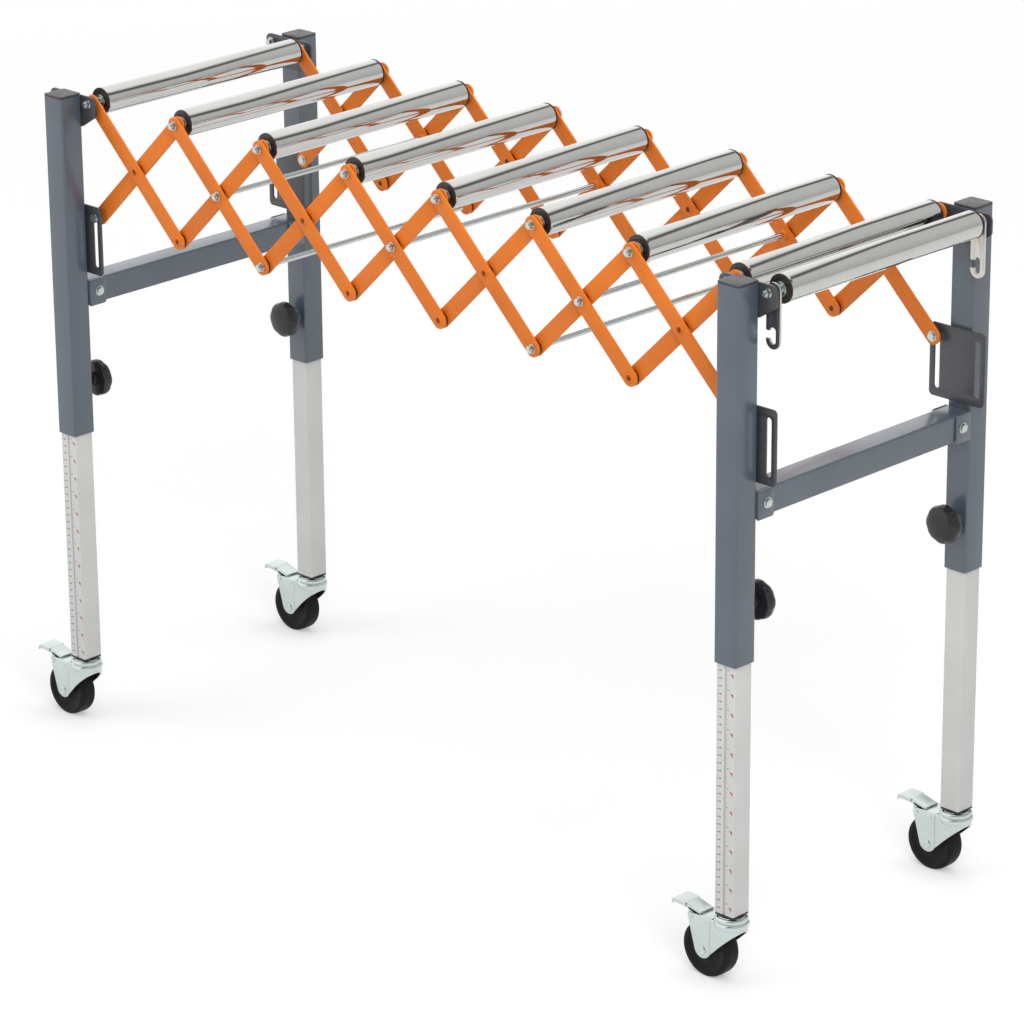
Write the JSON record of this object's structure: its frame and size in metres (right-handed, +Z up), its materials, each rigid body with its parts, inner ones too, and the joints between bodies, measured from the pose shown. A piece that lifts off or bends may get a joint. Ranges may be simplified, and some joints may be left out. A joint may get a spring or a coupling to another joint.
{
  "type": "flexible roller conveyor",
  "caption": "Expanding roller conveyor: chrome rollers on orange lazy tongs between grey end frames with sliding legs, clamping knobs and braked swivel casters.",
  "frame": {"origin": "on the floor, under the middle of the object's box", "axes": "+X along the path of the goods towards the end with the hooks, +Y across it away from the picture's camera, +Z up"},
  "size_m": [1.3364, 0.4724, 0.901],
  "materials": {
    "tongs_orange": "satin powder coat",
    "frame_grey": "semi-gloss powder coat",
    "leg_grey": "satin zinc plate",
    "zinc": "bright zinc plate",
    "chrome": "polished chrome plate",
    "rubber": "satin black",
    "black_plastic": "glossy black"
  },
  "bodies": {
    "left_frame": {"post_left_near": "frame_grey", "post_left_far": "frame_grey", "cross_bar_left": "frame_grey"},
    "right_frame": {"post_right_near": "frame_grey", "post_right_far": "frame_grey", "cross_bar_right": "frame_grey", "end_axle_8": "zinc", "end_axle_9": "zinc"},
    "falling_1": {"axle_bars_1": "tongs_orange"},
    "rising_1": {"rising_bar_near_1": "tongs_orange", "rising_bar_far_1": "tongs_orange"},
    "falling_2": {"axle_bars_2": "tongs_orange"},
    "rising_2": {"rising_bar_near_2": "tongs_orange", "rising_bar_far_2": "tongs_orange"},
    "falling_3": {"axle_bars_3": "tongs_orange"},
    "rising_3": {"rising_bar_near_3": "tongs_orange", "rising_bar_far_3": "tongs_orange"},
    "falling_4": {"axle_bars_4": "tongs_orange"},
    "rising_4": {"rising_bar_near_4": "tongs_orange", "rising_bar_far_4": "tongs_orange"},
    "falling_5": {"axle_bars_5": "tongs_orange"},
    "rising_5": {"rising_bar_near_5": "tongs_orange", "rising_bar_far_5": "tongs_orange"},
    "falling_6": {"axle_bars_6": "tongs_orange"},
    "rising_6": {"rising_bar_near_6": "tongs_orange", "rising_bar_far_6": "tongs_orange"},
    "falling_7": {"axle_bars_7": "tongs_orange"},
    "rising_7": {"rising_bar_near_7": "tongs_orange", "rising_bar_far_7": "tongs_orange"},
    "brake_lever_left_far": {"brake_lever_left_far": "zinc"},
    "brake_lever_left_near": {"brake_lever_left_near": "zinc"},
    "brake_lever_right_far": {"brake_lever_right_far": "zinc"},
    "brake_lever_right_near": {"brake_lever_right_near": "zinc"},
    "caster_fork_left_far": {"caster_fork_left_far": "zinc"},
    "caster_fork_left_near": {"caster_fork_left_near": "zinc"},
    "caster_fork_right_far": {"caster_fork_right_far": "zinc"},
    "caster_fork_right_near": {"caster_fork_right_near": "zinc"},
    "caster_wheel_left_far": {"caster_wheel_left_far": "rubber"},
    "caster_wheel_left_near": {"caster_wheel_left_near": "rubber"},
    "caster_wheel_right_far": {"caster_wheel_right_far": "rubber"},
    "caster_wheel_right_near": {"caster_wheel_right_near": "rubber"},
    "hook_far": {"hook_far": "zinc"},
    "hook_near": {"hook_near": "zinc"},
    "knob_left_far": {"knob_left_far": "black_plastic"},
    "knob_left_near": {"knob_left_near": "black_plastic"},
    "knob_right_far": {"knob_right_far": "black_plastic"},
    "knob_right_near": {"knob_right_near": "black_plastic"},
    "leg_left_far": {"leg_left_far": "leg_grey"},
    "leg_left_near": {"leg_left_near": "leg_grey"},
    "leg_right_far": {"leg_right_far": "leg_grey"},
    "leg_right_near": {"leg_right_near": "leg_grey"},
    "roller_1": {"roller_1": "chrome"},
    "roller_2": {"roller_2": "chrome"},
    "roller_3": {"roller_3": "chrome"},
    "roller_4": {"roller_4": "chrome"},
    "roller_5": {"roller_5": "chrome"},
    "roller_6": {"roller_6": "chrome"},
    "roller_7": {"roller_7": "chrome"},
    "roller_8": {"roller_8": "chrome"},
    "roller_9": {"roller_9": "chrome"}
  },
  "joints": [
    {"name": "fold", "type": "hinge", "parent": "left_frame", "child": "falling_1", "pos_m": [-0.54698, 0, 0.883], "axis": [0, 1, 0], "range_deg": [0, 35.3]},
    {"name": "low_pivot_2", "type": "hinge", "parent": "falling_1", "child": "rising_2", "pos_m": [-0.38495, 0, 0.72544], "axis": [0, 1, 0], "range_deg": [-70.64, 0]},
    {"name": "top_pivot_3", "type": "hinge", "parent": "rising_2", "child": "falling_3", "pos_m": [-0.22293, 0, 0.883], "axis": [0, 1, 0], "range_deg": [0, 70.64]},
    {"name": "low_pivot_4", "type": "hinge", "parent": "falling_3", "child": "rising_4", "pos_m": [-0.06091, 0, 0.72544], "axis": [0, 1, 0], "range_deg": [-70.64, 0]},
    {"name": "top_pivot_5", "type": "hinge", "parent": "rising_4", "child": "falling_5", "pos_m": [0.10111, 0, 0.883], "axis": [0, 1, 0], "range_deg": [0, 70.64]},
    {"name": "low_pivot_6", "type": "hinge", "parent": "falling_5", "child": "rising_6", "pos_m": [0.26313, 0, 0.72544], "axis": [0, 1, 0], "range_deg": [-70.64, 0]},
    {"name": "top_pivot_7", "type": "hinge", "parent": "rising_6", "child": "falling_7", "pos_m": [0.42515, 0, 0.883], "axis": [0, 1, 0], "range_deg": [0, 70.64]},
    {"name": "middle_pivot_1", "type": "hinge", "parent": "falling_1", "child": "rising_1", "pos_m": [-0.46597, 0, 0.80422], "axis": [0, 1, 0], "range_deg": [-70.64, 0]},
    {"name": "middle_pivot_2", "type": "hinge", "parent": "rising_2", "child": "falling_2", "pos_m": [-0.30394, 0, 0.80422], "axis": [0, 1, 0], "range_deg": [0, 70.64]},
    {"name": "middle_pivot_3", "type": "hinge", "parent": "falling_3", "child": "rising_3", "pos_m": [-0.14192, 0, 0.80422], "axis": [0, 1, 0], "range_deg": [-70.64, 0]},
    {"name": "middle_pivot_4", "type": "hinge", "parent": "rising_4", "child": "falling_4", "pos_m": [0.0201, 0, 0.80422], "axis": [0, 1, 0], "range_deg": [0, 70.64]},
    {"name": "middle_pivot_5", "type": "hinge", "parent": "falling_5", "child": "rising_5", "pos_m": [0.18212, 0, 0.80422], "axis": [0, 1, 0], "range_deg": [-70.64, 0]},
    {"name": "middle_pivot_6", "type": "hinge", "parent": "rising_6", "child": "falling_6", "pos_m": [0.34414, 0, 0.80422], "axis": [0, 1, 0], "range_deg": [0, 70.64]},
    {"name": "middle_pivot_7", "type": "hinge", "parent": "falling_7", "child": "rising_7", "pos_m": [0.50616, 0, 0.80422], "axis": [0, 1, 0], "range_deg": [-70.64, 0]},
    {"name": "top_pivot_8", "type": "hinge", "parent": "rising_7", "child": "right_frame", "pos_m": [0.58718, 0, 0.883], "axis": [0, 1, 0], "range_deg": [0, 35.32]},
    {"name": "roller_spin_1", "type": "hinge", "parent": "falling_1", "child": "roller_1", "pos_m": [-0.54698, 0, 0.883], "axis": [0, 1, 0], "continuous": true},
    {"name": "roller_spin_2", "type": "hinge", "parent": "falling_2", "child": "roller_2", "pos_m": [-0.38495, 0, 0.883], "axis": [0, 1, 0], "continuous": true},
    {"name": "roller_spin_3", "type": "hinge", "parent": "falling_3", "child": "roller_3", "pos_m": [-0.22293, 0, 0.883], "axis": [0, 1, 0], "continuous": true},
    {"name": "roller_spin_4", "type": "hinge", "parent": "falling_4", "child": "roller_4", "pos_m": [-0.06091, 0, 0.883], "axis": [0, 1, 0], "continuous": true},
    {"name": "roller_spin_5", "type": "hinge", "parent": "falling_5", "child": "roller_5", "pos_m": [0.10111, 0, 0.883], "axis": [0, 1, 0], "continuous": true},
    {"name": "roller_spin_6", "type": "hinge", "parent": "falling_6", "child": "roller_6", "pos_m": [0.26313, 0, 0.883], "axis": [0, 1, 0], "continuous": true},
    {"name": "roller_spin_7", "type": "hinge", "parent": "falling_7", "child": "roller_7", "pos_m": [0.42515, 0, 0.883], "axis": [0, 1, 0], "continuous": true},
    {"name": "roller_spin_8", "type": "hinge", "parent": "right_frame", "child": "roller_8", "pos_m": [0.58718, 0, 0.883], "axis": [0, 1, 0], "continuous": true},
    {"name": "roller_spin_9", "type": "hinge", "parent": "right_frame", "child": "roller_9", "pos_m": [0.65018, 0, 0.883], "axis": [0, 1, 0], "continuous": true},
    {"name": "leg_slide_left_near", "type": "slide", "parent": "left_frame", "child": "leg_left_near", "axis": [0, 0, 1], "range_m": [-0.08, 0.3]},
    {"name": "caster_swivel_left_near", "type": "hinge", "parent": "leg_left_near", "child": "caster_fork_left_near", "pos_m": [-0.57848, -0.214, 0.0915], "axis": [0, 0, 1], "continuous": true},
    {"name": "wheel_spin_left_near", "type": "hinge", "parent": "caster_fork_left_near", "child": "caster_wheel_left_near", "pos_m": [-0.61178, -0.214, 0.0365], "axis": [0, 1, 0], "continuous": true},
    {"name": "brake_press_left_near", "type": "hinge", "parent": "caster_fork_left_near", "child": "brake_lever_left_near", "pos_m": [-0.63078, -0.214, 0.0765], "axis": [0, -1, 0], "range_deg": [0, 12]},
    {"name": "knob_turn_left_near", "type": "hinge", "parent": "left_frame", "child": "knob_left_near", "pos_m": [-0.57848, -0.1965, 0.48908], "axis": [0, 1, 0], "continuous": true},
    {"name": "leg_slide_left_far", "type": "slide", "parent": "left_frame", "child": "leg_left_far", "axis": [0, 0, 1], "range_m": [-0.08, 0.3]},
    {"name": "caster_swivel_left_far", "type": "hinge", "parent": "leg_left_far", "child": "caster_fork_left_far", "pos_m": [-0.57848, 0.214, 0.0915], "axis": [0, 0, 1], "continuous": true},
    {"name": "wheel_spin_left_far", "type": "hinge", "parent": "caster_fork_left_far", "child": "caster_wheel_left_far", "pos_m": [-0.61178, 0.214, 0.0365], "axis": [0, 1, 0], "continuous": true},
    {"name": "brake_press_left_far", "type": "hinge", "parent": "caster_fork_left_far", "child": "brake_lever_left_far", "pos_m": [-0.63078, 0.214, 0.0765], "axis": [0, -1, 0], "range_deg": [0, 12]},
    {"name": "knob_turn_left_far", "type": "hinge", "parent": "left_frame", "child": "knob_left_far", "pos_m": [-0.57848, 0.1965, 0.48908], "axis": [0, 1, 0], "continuous": true},
    {"name": "leg_slide_right_near", "type": "slide", "parent": "right_frame", "child": "leg_right_near", "axis": [0, 0, 1], "range_m": [-0.08, 0.3]},
    {"name": "caster_swivel_right_near", "type": "hinge", "parent": "leg_right_near", "child": "caster_fork_right_near", "pos_m": [0.61868, -0.214, 0.0915], "axis": [0, 0, 1], "continuous": true},
    {"name": "wheel_spin_right_near", "type": "hinge", "parent": "caster_fork_right_near", "child": "caster_wheel_right_near", "pos_m": [0.58538, -0.214, 0.0365], "axis": [0, 1, 0], "continuous": true},
    {"name": "brake_press_right_near", "type": "hinge", "parent": "caster_fork_right_near", "child": "brake_lever_right_near", "pos_m": [0.56638, -0.214, 0.0765], "axis": [0, -1, 0], "range_deg": [0, 12]},
    {"name": "knob_turn_right_near", "type": "hinge", "parent": "right_frame", "child": "knob_right_near", "pos_m": [0.61868, -0.1965, 0.48908], "axis": [0, 1, 0], "continuous": true},
    {"name": "leg_slide_right_far", "type": "slide", "parent": "right_frame", "child": "leg_right_far", "axis": [0, 0, 1], "range_m": [-0.08, 0.3]},
    {"name": "caster_swivel_right_far", "type": "hinge", "parent": "leg_right_far", "child": "caster_fork_right_far", "pos_m": [0.61868, 0.214, 0.0915], "axis": [0, 0, 1], "continuous": true},
    {"name": "wheel_spin_right_far", "type": "hinge", "parent": "caster_fork_right_far", "child": "caster_wheel_right_far", "pos_m": [0.58538, 0.214, 0.0365], "axis": [0, 1, 0], "continuous": true},
    {"name": "brake_press_right_far", "type": "hinge", "parent": "caster_fork_right_far", "child": "brake_lever_right_far", "pos_m": [0.56638, 0.214, 0.0765], "axis": [0, -1, 0], "range_deg": [0, 12]},
    {"name": "knob_turn_right_far", "type": "hinge", "parent": "right_frame", "child": "knob_right_far", "pos_m": [0.61868, 0.1965, 0.48908], "axis": [0, 1, 0], "continuous": true},
    {"name": "hook_swing_near", "type": "hinge", "parent": "right_frame", "child": "hook_near", "pos_m": [0.65018, 0, 0.883], "axis": [0, -1, 0], "range_deg": [-30, 100]},
    {"name": "hook_swing_far", "type": "hinge", "parent": "right_frame", "child": "hook_far", "pos_m": [0.65018, 0, 0.883], "axis": [0, -1, 0], "range_deg": [-30, 100]}
  ],
  "couplings": [
    {"joint": "low_pivot_2", "follows": "fold", "ratio": -2},
    {"joint": "top_pivot_3", "follows": "fold", "ratio": 2},
    {"joint": "low_pivot_4", "follows": "fold", "ratio": -2},
    {"joint": "top_pivot_5", "follows": "fold", "ratio": 2},
    {"joint": "low_pivot_6", "follows": "fold", "ratio": -2},
    {"joint": "top_pivot_7", "follows": "fold", "ratio": 2},
    {"joint": "middle_pivot_1", "follows": "fold", "ratio": -2},
    {"joint": "middle_pivot_2", "follows": "fold", "ratio": 2},
    {"joint": "middle_pivot_3", "follows": "fold", "ratio": -2},
    {"joint": "middle_pivot_4", "follows": "fold", "ratio": 2},
    {"joint": "middle_pivot_5", "follows": "fold", "ratio": -2},
    {"joint": "middle_pivot_6", "follows": "fold", "ratio": 2},
    {"joint": "middle_pivot_7", "follows": "fold", "ratio": -2},
    {"joint": "top_pivot_8", "follows": "fold", "ratio": 1}
  ]
}
